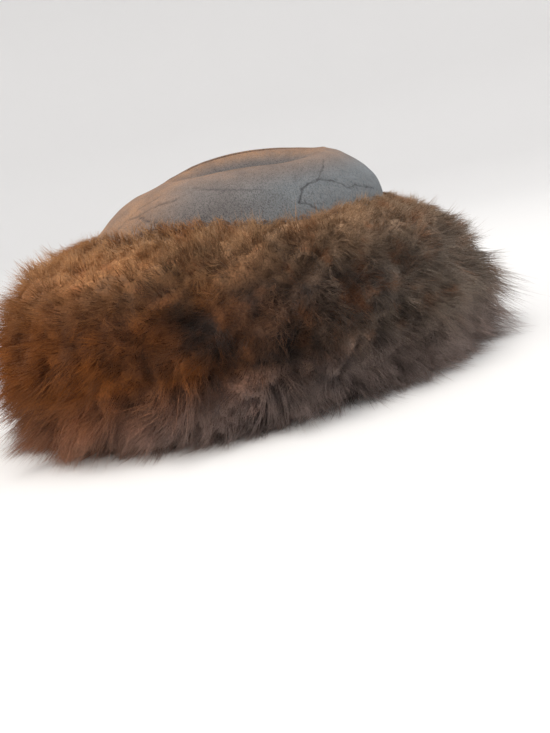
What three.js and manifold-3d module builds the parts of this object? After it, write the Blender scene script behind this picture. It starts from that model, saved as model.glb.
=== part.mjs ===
// Sheepskin hat: a soft suede crown with a sunken oval top, inside a deep turned-up fur cuff.
// Millimetres, +Z up. The wearer's front is -Y and the wearer's left is +X. The rim stands on z = 0.
// An angle round the hat starts at the front and grows towards the wearer's left.
import * as THREE from "three";
import { mergeVertices } from "three/addons/utils/BufferGeometryUtils.js";
import Module from "manifold-3d";

const wasm = await Module();
wasm.setup();

// Driving dimensions of the crown
const RIM_LENGTH = 222;
const RIM_WIDTH = 184;
const CROWN_HEIGHT = 142;
const SKIN = 2.4;
const SEAM_GAP = 0.3;
const TOP_SINK = 13;
const FRONT_LIFT = 2;
const LEFT_LIFT = 12;
const LEFT_LIFT_ANGLE = 80;
const LIFT_POWER = 6;
const RIDGE_SAG = 4;
const RIDGE_SAG_ANGLE = 290;
const RIDGE_SAG_SPREAD = 30;

// Driving dimensions of the fur cuff
const CUFF_HEIGHT = 83;
const FRINGE_FRONT = 102;
const FRINGE_BACK = 112;
const FUR_REACH_SIDE = 62;
const FUR_REACH_FRONT = 76;
const FUR_REACH_BACK = 71;
const FRONT_FAN = 0.36;
const BACK_FAN = 0.9;
const END_DROP = 14;
const FLEECE_SHARE = 0.76;
const LOCK_ROOT = 0.5;
const LOCK_TAPER = 0.8;
const LOCK_SEED = 11;

// How finely the solids are faceted
const CROWN_SIDES = 48;
const CROWN_RINGS = 9;
const TOP_RINGS = 5;
const FLEECE_SIDES = 40;
const LOCK_SIDES = 5;
const LOCK_RINGS = 3;

// Depth by which a piece starts inside its neighbour, or under the floor, before it is trimmed to it
const TRIM_DEPTH = 16;

// Outer outline of the crown, from the rim to the ridge round its top.
// rise is a share of CROWN_HEIGHT, width and length are shares of the rim's, forward is in millimetres.
const CROWN_SECTIONS = [
  { rise: 0.0, width: 1.0, length: 1.0, forward: 0 },
  { rise: 0.25, width: 1.005, length: 1.005, forward: 1 },
  { rise: 0.558, width: 0.985, length: 0.987, forward: 3.5 },
  { rise: 0.747, width: 0.935, length: 0.971, forward: 8 },
  { rise: 0.876, width: 0.82, length: 0.865, forward: 14.5 },
  { rise: 0.962, width: 0.67, length: 0.698, forward: 19 },
  { rise: 1.0, width: 0.53, length: 0.543, forward: 23 },
];

// Soft dents in the crown's wall.
// angle and spread are in degrees, height and tall are shares of CROWN_HEIGHT, depth is in millimetres.
const WALL_DENTS = [
  { angle: 262, spread: 34, height: 0.86, tall: 0.1, depth: 2.2 },
  { angle: 212, spread: 16, height: 0.8, tall: 0.12, depth: 2.6 },
  { angle: 148, spread: 18, height: 0.81, tall: 0.12, depth: 2.4 },
  { angle: 88, spread: 30, height: 0.86, tall: 0.1, depth: 2.0 },
  { angle: 330, spread: 26, height: 0.93, tall: 0.08, depth: 3.0 },
  { angle: 178, spread: 24, height: 0.86, tall: 0.09, depth: 3.5 },
];

// Rings of wool locks on the cuff, from its top edge to the floor.
// height is a share of CUFF_HEIGHT, pitch is in degrees above level, reach is a share of the fur's reach.
// radius is a lock's greatest, and droop is how far its tip sags, both in millimetres.
const LOCK_ROWS = [
  { height: 0.95, pitch: 84, reach: 0.55, radius: 15, droop: 0, count: 28 },
  { height: 0.86, pitch: 48, reach: 0.79, radius: 23, droop: 4, count: 22 },
  { height: 0.72, pitch: 27, reach: 0.95, radius: 27, droop: 7, count: 22 },
  { height: 0.55, pitch: 8, reach: 1.0, radius: 27, droop: 9, count: 22 },
  { height: 0.38, pitch: -9, reach: 0.97, radius: 27, droop: 10, count: 22 },
  { height: 0.22, pitch: -20, reach: 0.88, radius: 24, droop: 10, count: 22 },
];

// How much one lock may differ from its row, as shares of the row's values. sway is a share of the radius.
const LOCK_VARIETY = { pitch: 0.12, length: 0.08, droop: 0.5, sway: 0.6, radius: 0.15 };

const UP = new THREE.Vector3(0, 0, 1);
const FULL_TURN = 2 * Math.PI;

// A point of an oval at an angle round the hat, with the oval moved forward.
function ovalPoint(halfWidth, halfLength, angle, forward, height) {
  return new THREE.Vector3(halfWidth * Math.sin(angle), -halfLength * Math.cos(angle) - forward, height);
}

// The level direction that points straight out of the rim's oval.
function outward(angle) {
  return new THREE.Vector3(Math.sin(angle) / RIM_WIDTH, -Math.cos(angle) / RIM_LENGTH, 0).normalize();
}

// A soft bump of height 1 that fades to nothing at about two spreads.
function bump(distance, spread) {
  return Math.exp(-((distance / spread) ** 2));
}

// Degrees between an angle round the hat and a direction given in degrees.
function degreesFrom(angle, direction) {
  const turn = THREE.MathUtils.radToDeg(angle) - direction;
  return Math.abs(THREE.MathUtils.euclideanModulo(turn + 180, 360) - 180);
}

// Evenly spaced shares from 0 to 1.
function shares(count) {
  return Array.from({ length: count }, (_, k) => k / (count - 1));
}

// Points at even angles, as point(angle) gives them.
function ring(sides, point) {
  return Array.from({ length: sides }, (_, s) => point((s / sides) * FULL_TURN));
}

// A closed surface through rings of points that turn the same way.
// It ends in the two given points, or with none given the last ring joins the first.
function loft(rings, ends = []) {
  const sides = rings[0].length;
  const faces = [];
  const joins = ends.length ? rings.length - 1 : rings.length;
  const next = (s) => (s + 1) % sides;
  for (let r = 0; r < joins; r += 1) {
    const here = r * sides;
    const there = ((r + 1) % rings.length) * sides;
    for (let s = 0; s < sides; s += 1) {
      faces.push(here + s, here + next(s), there + next(s));
      faces.push(here + s, there + next(s), there + s);
    }
  }
  const first = rings.length * sides;
  const lastRing = first - sides;
  for (let s = 0; s < sides && ends.length; s += 1) {
    faces.push(first, next(s), s);
    faces.push(first + 1, lastRing + s, lastRing + next(s));
  }
  const geometry = new THREE.BufferGeometry().setFromPoints([...rings.flat(), ...ends]);
  return geometry.setIndex(faces);
}

// A solid to join and cut, from a closed geometry.
function solidOf(geometry) {
  const bare = new THREE.BufferGeometry();
  bare.setAttribute("position", geometry.getAttribute("position"));
  bare.setIndex(geometry.getIndex());
  const merged = mergeVertices(bare);
  const vertProperties = merged.getAttribute("position").array;
  const triVerts = new Uint32Array(merged.getIndex().array);
  return new wasm.Manifold(new wasm.Mesh({ numProp: 3, vertProperties, triVerts }));
}

function geometryOf(solid) {
  const mesh = solid.getMesh();
  const geometry = new THREE.BufferGeometry();
  geometry.setAttribute("position", new THREE.BufferAttribute(mesh.vertProperties, mesh.numProp));
  return geometry.setIndex(new THREE.BufferAttribute(mesh.triVerts, 1));
}

// The crown's outline: half width, half length and height in one curve, the forward lean in the other.
const crownOutline = new THREE.CatmullRomCurve3(
  CROWN_SECTIONS.map(({ width, length, rise }) => {
    return new THREE.Vector3((width * RIM_WIDTH) / 2, (length * RIM_LENGTH) / 2, rise * CROWN_HEIGHT);
  }),
);
const crownLean = new THREE.SplineCurve(
  CROWN_SECTIONS.map(({ forward, rise }) => new THREE.Vector2(forward, rise)),
);

function dentDepth(angle, height) {
  return WALL_DENTS.reduce((depth, dent) => {
    const level = bump(height / CROWN_HEIGHT - dent.height, dent.tall);
    return depth + dent.depth * level * bump(degreesFrom(angle, dent.angle), dent.spread);
  }, 0);
}

// A point of the crown's wall, a share of the way along its outline and set in below its outer face.
function wallPoint(share, angle, inset) {
  const size = crownOutline.getPoint(share);
  const slope = crownOutline.getTangent(share);
  const lean = crownLean.getPoint(share).x;
  const tilt = Math.atan2(-(slope.x + slope.y) / 2, slope.z);
  const inwards = inset * Math.cos(tilt) + dentDepth(angle, size.z);
  const frontLift = FRONT_LIFT * Math.max(0, Math.cos(angle)) ** 2;
  const fromLeft = angle - THREE.MathUtils.degToRad(LEFT_LIFT_ANGLE);
  const leftLift = LEFT_LIFT * Math.max(0, Math.cos(fromLeft)) ** 2;
  const sag = RIDGE_SAG * bump(degreesFrom(angle, RIDGE_SAG_ANGLE), RIDGE_SAG_SPREAD);
  const lift = (frontLift + leftLift - sag) * share ** LIFT_POWER;
  const height = size.z - inset * Math.sin(tilt) + lift;
  return ovalPoint(size.x - inwards, size.y - inwards, angle, lean, height);
}

function ridgePoint(angle) {
  return wallPoint(1, angle, 0);
}

// The side wall: up its outer face, down the seam face at the ridge, and down its inner face to the rim.
function crownSide() {
  const outer = shares(CROWN_RINGS).map((share) => ring(CROWN_SIDES, (angle) => wallPoint(share, angle, 0)));
  const inner = shares(CROWN_RINGS).map((share) => {
    return ring(CROWN_SIDES, (angle) => {
      if (share === 1) return ridgePoint(angle).addScaledVector(UP, -SKIN);
      const point = wallPoint(share, angle, SKIN);
      return share === 0 ? point.setZ(0) : point;
    });
  });
  return loft([...outer, ...inner.reverse()]);
}

// The oval top, sewn in at the ridge and hanging in it as a shallow dish.
function crownTop() {
  const middle = ridgePoint(0).lerp(ridgePoint(Math.PI), 0.5);
  const lowest = middle.clone().addScaledVector(UP, -TOP_SINK);
  const dishPoint = (share, angle, drop) => {
    const ridge = ridgePoint(angle);
    const across = ridge.clone().sub(middle).setZ(0);
    const edge = 1 - SEAM_GAP / across.length();
    const height = THREE.MathUtils.lerp(lowest.z, ridge.z, share ** 2) - drop;
    return middle.clone().addScaledVector(across, share * edge).setZ(height);
  };
  const face = (drop) => {
    const steps = shares(TOP_RINGS + 1).slice(1);
    return steps.map((share) => ring(CROWN_SIDES, (angle) => dishPoint(share, angle, drop)));
  };
  const underside = lowest.clone().addScaledVector(UP, -SKIN);
  return loft([...face(SKIN), ...face(0).reverse()], [underside, lowest]);
}

// How far the wool stands out from the cuff's skin.
function furReach(angle) {
  const end = Math.cos(angle) > 0 ? FUR_REACH_FRONT : FUR_REACH_BACK;
  return THREE.MathUtils.lerp(FUR_REACH_SIDE, end, Math.cos(angle) ** 2);
}

// A point at a height on the cuff, moved out from the rim's oval.
function cuffPoint(angle, height, out) {
  return ovalPoint(RIM_WIDTH / 2, RIM_LENGTH / 2, angle, 0, height).addScaledVector(outward(angle), out);
}

// The height at which the fleece meets the crown, which climbs from the front to the back.
function fringeHeight(angle) {
  const climb = THREE.MathUtils.smoothstep(-Math.cos(angle), -0.35, 0.75);
  return THREE.MathUtils.lerp(FRINGE_FRONT, FRINGE_BACK, climb);
}

// The direction that points out of the cuff and up by a pitch in degrees.
// The wool fans out less at the front and back, and hangs lower there than at the sides.
function pitched(angle, pitch) {
  const ahead = Math.cos(angle);
  const fan = THREE.MathUtils.lerp(1, ahead > 0 ? FRONT_FAN : BACK_FAN, Math.abs(ahead));
  const rise = THREE.MathUtils.degToRad(pitch * fan - END_DROP * ahead ** 2);
  return outward(angle).multiplyScalar(Math.cos(rise)).addScaledVector(UP, Math.sin(rise));
}

// The dense fleece: the cuff's skin and the wool close to it, under the tips of the locks.
function fleece() {
  const woolRing = (row, height, pitch) => {
    return ring(FLEECE_SIDES, (angle) => {
      const length = FLEECE_SHARE * row.reach * furReach(angle);
      return cuffPoint(angle, height, SKIN).addScaledVector(pitched(angle, pitch), length);
    });
  };
  const upwards = [...LOCK_ROWS].reverse();
  const rings = [
    ring(FLEECE_SIDES, (angle) => cuffPoint(angle, -TRIM_DEPTH, -TRIM_DEPTH)),
    woolRing(upwards[0], -TRIM_DEPTH, 0),
    ...upwards.map((row) => woolRing(row, row.height * CUFF_HEIGHT, row.pitch)),
    ring(FLEECE_SIDES, (angle) => cuffPoint(angle, fringeHeight(angle), -TRIM_DEPTH)),
  ];
  return solidOf(loft(rings));
}

// One lock of wool: a bent tuft that starts in the fleece, swells at its surface and ends in a point.
function lock(row, angle) {
  const stray = (part) => LOCK_VARIETY[part] * (2 * THREE.MathUtils.seededRandom() - 1);
  const length = row.reach * furReach(angle) * (1 + stray("length"));
  const along = pitched(angle, row.pitch * (1 + stray("pitch"))).multiplyScalar(length);
  const round = UP.clone().cross(outward(angle));
  const skin = cuffPoint(angle, row.height * CUFF_HEIGHT, SKIN);
  const root = skin.clone().addScaledVector(along, LOCK_ROOT);
  const bend = skin.clone().addScaledVector(along, FLEECE_SHARE);
  const tip = skin.clone().add(along).addScaledVector(UP, -row.droop * (1 + stray("droop")));
  tip.addScaledVector(round, row.radius * stray("sway"));
  const path = new THREE.QuadraticBezierCurve3(root, bend, tip);
  const radius = row.radius * (1 + stray("radius"));
  const rings = shares(LOCK_RINGS + 1).slice(0, -1).map((share) => {
    const ahead = path.getTangent(share);
    const side = round.clone().projectOnPlane(ahead).normalize();
    const over = ahead.clone().cross(side);
    const thick = radius * (1 - share ** 2) ** LOCK_TAPER;
    return ring(LOCK_SIDES, (turn) => {
      const point = path.getPoint(share).addScaledVector(side, thick * Math.cos(turn));
      return point.addScaledVector(over, thick * Math.sin(turn));
    });
  });
  return solidOf(loft(rings, [root, tip]));
}

function allLocks() {
  THREE.MathUtils.seededRandom(LOCK_SEED);
  return LOCK_ROWS.flatMap((row, r) => {
    const stagger = (r % 2) / 2;
    return Array.from({ length: row.count }, (_, k) => lock(row, ((k + stagger) / row.count) * FULL_TURN));
  });
}

// The space that the crown takes up, a seam's gap larger than the crown and open past the rim.
function crownSpace() {
  const rings = shares(CROWN_RINGS).map((share) => {
    return ring(CROWN_SIDES, (angle) => wallPoint(share, angle, -SEAM_GAP));
  });
  const below = ring(CROWN_SIDES, (angle) => wallPoint(0, angle, -SEAM_GAP).setZ(-2 * TRIM_DEPTH));
  const foot = new THREE.Vector3(0, 0, -2 * TRIM_DEPTH);
  const head = ridgePoint(0).lerp(ridgePoint(Math.PI), 0.5);
  return solidOf(loft([below, ...rings], [foot, head]));
}

// The ground that the hat stands on, which flattens the wool that lies on it.
function groundSpace() {
  const side = 4 * RIM_LENGTH;
  return solidOf(new THREE.BoxGeometry(side, side, side).translate(0, 0, -side / 2));
}

function furCuff() {
  const woolly = allLocks().reduce((joined, one) => joined.add(one), fleece());
  return geometryOf(woolly.subtract(crownSpace()).subtract(groundSpace()));
}

const suede = new THREE.MeshStandardMaterial({ color: "#7a7774", roughness: 0.95, metalness: 0 });
const wool = new THREE.MeshStandardMaterial({ color: "#5b4130", roughness: 0.9, metalness: 0 });

// One named piece of the hat, with normals for a viewer.
function piece(name, geometry, material) {
  geometry.computeVertexNormals();
  const mesh = new THREE.Mesh(geometry, material);
  mesh.name = name;
  return mesh;
}

const hat = new THREE.Group();
hat.add(piece("crown_side", crownSide(), suede));
hat.add(piece("crown_top", crownTop(), suede));
hat.add(piece("fur_cuff", furCuff(), wool));

// The origin is under the middle of the hat's footprint.
const footprint = new THREE.Box3().setFromObject(hat).getCenter(new THREE.Vector3());
hat.position.set(-footprint.x, -footprint.y, 0);

export default new THREE.Group().add(hat);
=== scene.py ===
import math

import bpy
import numpy as np
from mathutils import Matrix, Vector, noise


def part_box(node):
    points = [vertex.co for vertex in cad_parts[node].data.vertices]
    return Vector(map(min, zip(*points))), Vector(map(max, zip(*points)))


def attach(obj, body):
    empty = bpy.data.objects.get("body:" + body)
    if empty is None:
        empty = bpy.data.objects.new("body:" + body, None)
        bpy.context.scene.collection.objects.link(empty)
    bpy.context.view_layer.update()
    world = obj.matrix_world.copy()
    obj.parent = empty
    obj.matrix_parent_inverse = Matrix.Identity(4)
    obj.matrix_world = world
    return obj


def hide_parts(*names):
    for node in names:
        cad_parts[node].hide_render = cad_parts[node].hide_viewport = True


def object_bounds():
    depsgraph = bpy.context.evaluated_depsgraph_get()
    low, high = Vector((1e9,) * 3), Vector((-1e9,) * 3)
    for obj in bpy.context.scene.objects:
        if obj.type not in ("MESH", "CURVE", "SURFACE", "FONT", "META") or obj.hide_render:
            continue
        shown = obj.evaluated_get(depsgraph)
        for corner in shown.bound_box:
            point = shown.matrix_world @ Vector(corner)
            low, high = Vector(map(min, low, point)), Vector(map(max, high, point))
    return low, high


# Metres. The wearer's front is -Y, the wearer's left is +X, and the hat stands on z = 0.
# An angle round the hat starts at the front and grows towards the wearer's left.
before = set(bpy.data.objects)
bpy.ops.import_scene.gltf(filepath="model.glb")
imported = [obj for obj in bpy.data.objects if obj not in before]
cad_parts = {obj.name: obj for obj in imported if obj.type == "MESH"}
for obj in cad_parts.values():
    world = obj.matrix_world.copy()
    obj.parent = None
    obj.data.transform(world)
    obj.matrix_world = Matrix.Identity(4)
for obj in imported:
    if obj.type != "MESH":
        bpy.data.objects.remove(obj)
cad_low, cad_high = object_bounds()

# Sizes of the crown
RIM_LENGTH = 0.222
RIM_WIDTH = 0.184
CROWN_HEIGHT = 0.142
SKIN = 0.0024
TOP_SINK = 0.013
FRONT_LIFT = 0.002
LEFT_LIFT = 0.012
LEFT_LIFT_ANGLE = 80
LIFT_POWER = 6
RIDGE_SAG = 0.004
RIDGE_SAG_ANGLE = 290
RIDGE_SAG_SPREAD = 30
RIDGE_ROLL = 0.0010
ROLL_END = -120
TILT_STEP = 0.004
SOFT_LUMP = 0.0007
SOFT_LUMP_SPACING = 0.028
FINE_LUMP = 0.00025
FINE_LUMP_SPACING = 0.009
LUMPS_START = (0.3, 0.45)

# The sunken top: how far its edge tucks in and under the roll, and its own lumps
DISH_TUCK = 0.0010
DISH_DROP = 0.00015
DISH_LUMP = 0.0016
DISH_LUMP_SPACING = 0.03
DISH_RIPPLE = 0.0004
DISH_RIPPLE_SPACING = 0.008
# Painted highlight towards the dish's rim, and painted shade over its sunken middle, where its speckle is
# also heavier
DISH_RIM_HIGHLIGHT = (0.70, 1.0)
DISH_NAP_SHADE = 1.1

# Where the suede is tan, blue grey or dark, with a painted highlight along the ridge and painted shade below
# it: angles in degrees from the back or front, depths below the ridge
TAN_BACK = (62, 22)
# Painted highlight on the ridge's roll and along the ridge
RIDGE_EDGE_HIGHLIGHT, RIDGE_EDGE_HIGHLIGHT_SPREAD = 0.85, 0.002
RIDGE_HIGHLIGHT, RIDGE_HIGHLIGHT_SPREAD = 0.6, 0.007
BLUE_FRONT = (118, 84)
BLUE_BELOW = (0.006, 0.020)
# Painted shade, where the nap speckle is also heavier: a band below the ridge at the sides, weaker at the
# front, and a narrow one just under the ridge
NAP_SHADE_BAND, NAP_SHADE_BAND_BELOW, NAP_SHADE_BAND_SPREAD = 1.3, 0.026, 0.013
NAP_SHADE_FRONT_LOSS = 0.6
NAP_SHADE_UNDER_RIDGE, NAP_SHADE_UNDER_RIDGE_SPREAD = 0.5, 0.012
INSIDE_BELOW = 0.03

# Steps round the wall, from one angle to the next in degrees, finest where the suede's lines are
WALL_STEPS = [(195, 272, 110), (272, 320, 134), (320, 341, 30), (341, 555, 79)]

# Rows of points on the pieces: few up to the share of the wall that the cuff hides, and many above it
WALL_HIDDEN = 0.44
WALL_HIDDEN_ROWS = 8
WALL_ROWS = 104
ROLL_ROWS = 9
INSIDE_TOP = 0.97
INSIDE_ROWS = 10
DISH_STEP = 3
DISH_MIDDLE = 0.06
DISH_ROWS = 26
UNDER_STEP = 1.5
UNDER_ROWS = 48
PATCH_COLUMNS = 73
PATCH_ROWS = 60
EDGE_SAMPLES = 200
CLEARING_SAMPLES = 120

# Outline of the crown from the rim to the ridge: rise, width, length as shares, forward lean in metres
RISE, WIDTH, LENGTH, FORWARD = range(4)
CROWN_SECTIONS = np.array([
    (0.0, 1.0, 1.0, 0.0),
    (0.25, 1.005, 1.005, 0.001),
    (0.558, 0.985, 0.987, 0.0035),
    (0.747, 0.935, 0.971, 0.008),
    (0.876, 0.82, 0.865, 0.0145),
    (0.962, 0.67, 0.698, 0.019),
    (1.0, 0.53, 0.543, 0.023),
])

# Soft dents in the wall: angle and spread in degrees, height and tall as shares, depth in metres
WALL_DENTS = [
    (262, 34, 0.86, 0.1, 0.0022),
    (212, 16, 0.8, 0.12, 0.0026),
    (148, 18, 0.81, 0.12, 0.0024),
    (88, 30, 0.86, 0.1, 0.002),
    (330, 26, 0.93, 0.08, 0.003),
    (178, 24, 0.86, 0.09, 0.0035),
]

# Natural lines in the suede: width and depth in millimetres, then points as degrees and millimetres of height
SUEDE_LINES = {
    "crack": (1.0, 0.45, [(299, 136), (294, 132), (290.5, 129), (286, 124.5)]),
    "arc_down": (1.3, 0.6, [(288, 124.5), (281, 123), (278, 120.5), (277, 117), (276, 113.5)]),
    "arc_tail": (1.2, 0.5, [(276, 113.5), (278, 112.5), (280, 110.5), (282, 107.5), (285, 105)]),
    "arc_across": (1.1, 0.45, [
        (286, 124.5), (292.5, 122), (297, 118), (299, 115), (303.5, 116), (309, 113), (317, 110.5)]),
    "long_line": (1.2, 0.3, [(231, 136), (240, 133), (250, 130), (262, 126)]),
    "short_mark": (1.0, 0.3, [(277.5, 130), (276.5, 126.5)]),
    "back_crease": (1.3, 0.38, [(202.5, 126), (209, 126.5), (219.5, 121), (227, 119)]),
    "back_fold": (1.3, 0.32, [(208, 127), (213, 129), (217.5, 130.5), (226, 131)]),
    "back_low": (1.2, 0.3, [(206, 114), (211, 119), (213, 123)]),
    "back_high": (1.2, 0.25, [(199, 121), (204, 131), (212, 135)]),
}

# How the lines wander, break up and show: millimetres, and shares of a line's own width and depth
MM_PER_DEGREE = 1.35
LINE_WANDER, LINE_WANDER_SPACING = 0.7, 2.5
LINE_BREAK, LINE_BREAK_SPACING = 0.5, 3.0
LINE_STRENGTH = 0.75
LINE_DEPTH_SHARE = 0.5
LINE_MARK_SHARE = 0.45
LINE_FULL_DEPTH = 0.5
NOISE_SHIFT = 40

# Sizes of the fur cuff
CUFF_HEIGHT = 0.083
FRINGE_FRONT = 0.0985
FRINGE_BACK = 0.112
FRINGE_WAVE = 0.003
FUR_REACH_SIDE = 0.062
FUR_REACH_FRONT = 0.076
FUR_REACH_BACK = 0.071
FRONT_FAN = 0.36
BACK_FAN = 0.9
END_DROP = 14
UNDER_SHARE = 0.70
ROOT_SHARE = 0.62
TIP_SHARE = 1.0
SWEEP_BACK = 0.4
SWEEP_DOWN = 0.25
FLOOR_SOFT = 0.006
WISP_ROOM = 0.010
CROWN_CLEARANCE = 0.0008
INNERMOST_SHARE = 0.05

# The wool's top edge: where its height turns from front to back, its waves, and how its strands lean out
FRINGE_TURN = (0.35, -0.75)
FRINGE_WAVE_SPACING = 0.02
FRINGE_ROOT_RISE = 0.005
FRINGE_ROOT_OUT = 0.001
FRINGE_PITCH = 50
FRINGE_LEAN = 0.8
FRINGE_LIFT = 0.3
FRINGE_REACH = (0.75, 0.55)

# The dense fleece under the strands
UNDER_LIFT = 0.6
UNDER_TRIM = 0.12
UNDER_FLOOR = 0.002
UNDER_TOP_RISE = 0.003
UNDER_INSIDE_HEIGHTS = (0.07, 0.035, 0.002)
UNDER_INSIDE_SHADE = 0.1
UNDER_TONE = 0.5
UNDER_ALONG = 0.45

# How the strands change from the floor, level 0, to the top edge, level 1
ROOT_FLOOR = 0.003
PARTING_LOSS, PARTING_LEVELS = 0.8, (0.8, 0.95)
SWEEP_LOSS, SWEEP_LEVELS = 0.7, (0.75, 1.0)
DOWN_LEVELS = (0.55, 0.9)
SWEPT_LENGTH = 0.45
HEM_LENGTH, HEM_LEVELS = 0.3, (0.22, 0.02)
FRONT_TRIM, FRONT_TRIM_TURN, FRONT_TRIM_LEVELS = 0.40, (0.3, 0.9), (0.5, 0.75)
LOOSENESS, LOOSE_LEVELS = 1.3, (0.7, 0.97)

# Locks in the wool: their width, length along the flow, depth between them, and slant at the sides
LOCK_WIDTH = 0.026
LOCK_LENGTH = 0.060
LOCK_DEPTH = 0.010
TUFT_WIDTH = 0.010
TUFT_LENGTH = 0.045
TUFT_DEPTH = 0.003
LOCK_SLANT = 0.9
LOCK_CONTRAST = 2.6
LOCK_ROUNDNESS = 0.7
LOCK_LEVEL = 0.7
TUFT_SHADE = 0.3
TUFT_SHIFT = 9
WOOL_RADIUS = 0.135
WOOL_SPAN = 0.19

# Rows of wool from the floor to the top edge: height as a share, pitch in degrees, reach as a share
WOOL_ROWS = np.array([
    (0.06, -26, 0.80),
    (0.22, -20, 0.88),
    (0.38, -9, 0.97),
    (0.55, 8, 1.0),
    (0.72, 27, 0.95),
    (0.86, 48, 0.79),
    (0.95, 84, 0.55),
])

# Pieces of wool round the hat, each from one angle to another in degrees
WOOL_SECTORS = {
    "wool_front": (-36, 36),
    "wool_left_front": (36, 108),
    "wool_left_back": (108, 180),
    "wool_right_back": (180, 252),
    "wool_right_front": (252, 324),
}
WOOL_SEED = 7

# Settings of the strands: short fluff and longer wisps, drawn together into tufts and locks
WOOL_SETTINGS = {
    "Fluff Density": 800000.0,
    "Wisp Density": 220000.0,
    "Strand Radius": 0.00016,
    "Lock Spacing": 0.024,
    "Tuft Spacing": 0.008,
    "Lock Pull": 0.15,
    "Tuft Pull": 0.75,
    "Splay": 0.4,
    "Tousle": 0.9,
    "Droop": 0.12,
}
FLUFF = {"sections": 1, "lengths": (0.5, 1.0), "thick": 1.0, "pull": 0.6, "stray": 0.85, "offset": 100}
WISPS = {"sections": 2, "lengths": (0.75, 1.05), "thick": 1.2, "pull": 1.15, "stray": 0.4, "offset": 200}
TUFT_LENGTHS = (0.65, 1.22)
LOCK_LEAN = 0.32
TUFT_LEAN = 0.30
TOUSLE_SCALE = 60.0
LOCK_OFFSET, TUFT_OFFSET = 50, 60
CENTRE_DENSITY = 100000.0

crown_low, crown_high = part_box("crown_side")
HAT_X = (crown_low.x + crown_high.x) / 2
HAT_Y = crown_high.y - RIM_LENGTH / 2


# Curves and directions

def through(values, share):
    """A smooth curve through evenly spaced values, read at shares from 0 to 1."""
    share = np.asarray(share, float)
    padded = np.concatenate([[2 * values[0] - values[1]], values, [2 * values[-1] - values[-2]]])
    place = np.clip(share, 0, 1) * (len(values) - 1)
    k = np.minimum(place.astype(int), len(values) - 2)
    t = place - k
    a, b, c, d = (padded[k + i] for i in range(4))
    return b + 0.5 * t * (c - a + t * (2 * a - 5 * b + 4 * c - d + t * (3 * (b - c) + d - a)))


def bump(distance, spread):
    return np.exp(-((distance / spread) ** 2))


def degrees_from(angle, direction):
    return np.abs((np.degrees(angle) - direction + 180) % 360 - 180)


def ramp(value, low, high):
    t = np.clip((value - low) / (high - low), 0, 1)
    return t * t * (3 - 2 * t)


def oval(half_width, half_length, angle, forward, height):
    x = HAT_X + half_width * np.sin(angle)
    y = HAT_Y - half_length * np.cos(angle) - forward
    return np.stack(np.broadcast_arrays(x, y, height), -1)


def outward(angle):
    x, y = np.sin(angle) / RIM_WIDTH, -np.cos(angle) / RIM_LENGTH
    size = np.hypot(x, y)
    return np.stack([x / size, y / size, np.zeros_like(size)], -1)


def lumps(points, spacing):
    """Smooth random values from -1 to 1 with bumps about one spacing apart."""
    flat = points.reshape(-1, 3) / spacing
    return np.array([noise.noise(Vector(p)) for p in flat]).reshape(points.shape[:-1])


# The crown

def crown_size(share):
    return [through(CROWN_SECTIONS[:, column], share) for column in (WIDTH, LENGTH, RISE, FORWARD)]


def dent_depth(angle, height):
    depth = 0
    for direction, spread, level, tall, deep in WALL_DENTS:
        upright = bump(height / CROWN_HEIGHT - level, tall)
        depth = depth + deep * upright * bump(degrees_from(angle, direction), spread)
    return depth


def crown_wall(share, angle, inset):
    width, length, rise, forward = crown_size(share)
    width_on, length_on, rise_on, _ = crown_size(np.minimum(share + TILT_STEP, 1))
    width_off, length_off, rise_off, _ = crown_size(np.maximum(share - TILT_STEP, 0))
    inward = (width_off - width_on) * RIM_WIDTH / 4 + (length_off - length_on) * RIM_LENGTH / 4
    tilt = np.arctan2(inward, (rise_on - rise_off) * CROWN_HEIGHT)
    height = rise * CROWN_HEIGHT
    set_in = inset * np.cos(tilt) + dent_depth(angle, height)
    front = FRONT_LIFT * np.maximum(0, np.cos(angle)) ** 2
    left = LEFT_LIFT * np.maximum(0, np.cos(angle - math.radians(LEFT_LIFT_ANGLE))) ** 2
    sag = RIDGE_SAG * bump(degrees_from(angle, RIDGE_SAG_ANGLE), RIDGE_SAG_SPREAD)
    height = height - inset * np.sin(tilt) + (front + left - sag) * share ** LIFT_POWER
    return oval(width * RIM_WIDTH / 2 - set_in, length * RIM_LENGTH / 2 - set_in, angle, forward, height)


def line_depth(angle, height):
    """How deep the suede's natural lines are at an angle and height, and how strongly their dark marks show:
    vein marks, and painted shade in the creases.
    """
    depth = np.zeros_like(height)
    mark = np.zeros_like(height)
    across = np.stack([np.degrees(angle) * MM_PER_DEGREE, height * 1000], -1)
    ragged = np.concatenate([across, 0 * height[..., None]], -1)
    wander = [lumps(ragged + shift, LINE_WANDER_SPACING) for shift in (0, NOISE_SHIFT)]
    across = across + LINE_WANDER * np.stack(wander, -1)
    broken = LINE_STRENGTH + LINE_BREAK * lumps(ragged + 2 * NOISE_SHIFT, LINE_BREAK_SPACING)
    for width, deep, path in SUEDE_LINES.values():
        knots = np.array(path) * (MM_PER_DEGREE, 1)
        nearest = np.full(height.shape, np.inf)
        for start, end in zip(knots[:-1], knots[1:]):
            span = end - start
            t = np.clip(((across - start) @ span) / (span @ span), 0, 1)
            gap = np.linalg.norm(across - start - t[..., None] * span, axis=-1)
            nearest = np.minimum(nearest, gap)
        depth = np.maximum(depth, deep * LINE_DEPTH_SHARE / 1000 * bump(nearest, width))
        # Marks darker where a line is deeper: vein marks, with painted shade in the creases
        mark = np.maximum(mark, min(1, deep / LINE_FULL_DEPTH) * bump(nearest, width * LINE_MARK_SHARE))
    return depth, np.clip(mark * broken, 0, 1)


def quads(rows, columns, wrap_rows, wrap_columns):
    r = np.arange(rows if wrap_rows else rows - 1)[:, None]
    c = np.arange(columns if wrap_columns else columns - 1)[None, :]
    r_next, c_next = (r + 1) % rows, (c + 1) % columns
    corners = [r * columns + c, r * columns + c_next, r_next * columns + c_next, r_next * columns + c]
    return np.stack(corners, -1).reshape(-1, 4)


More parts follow.
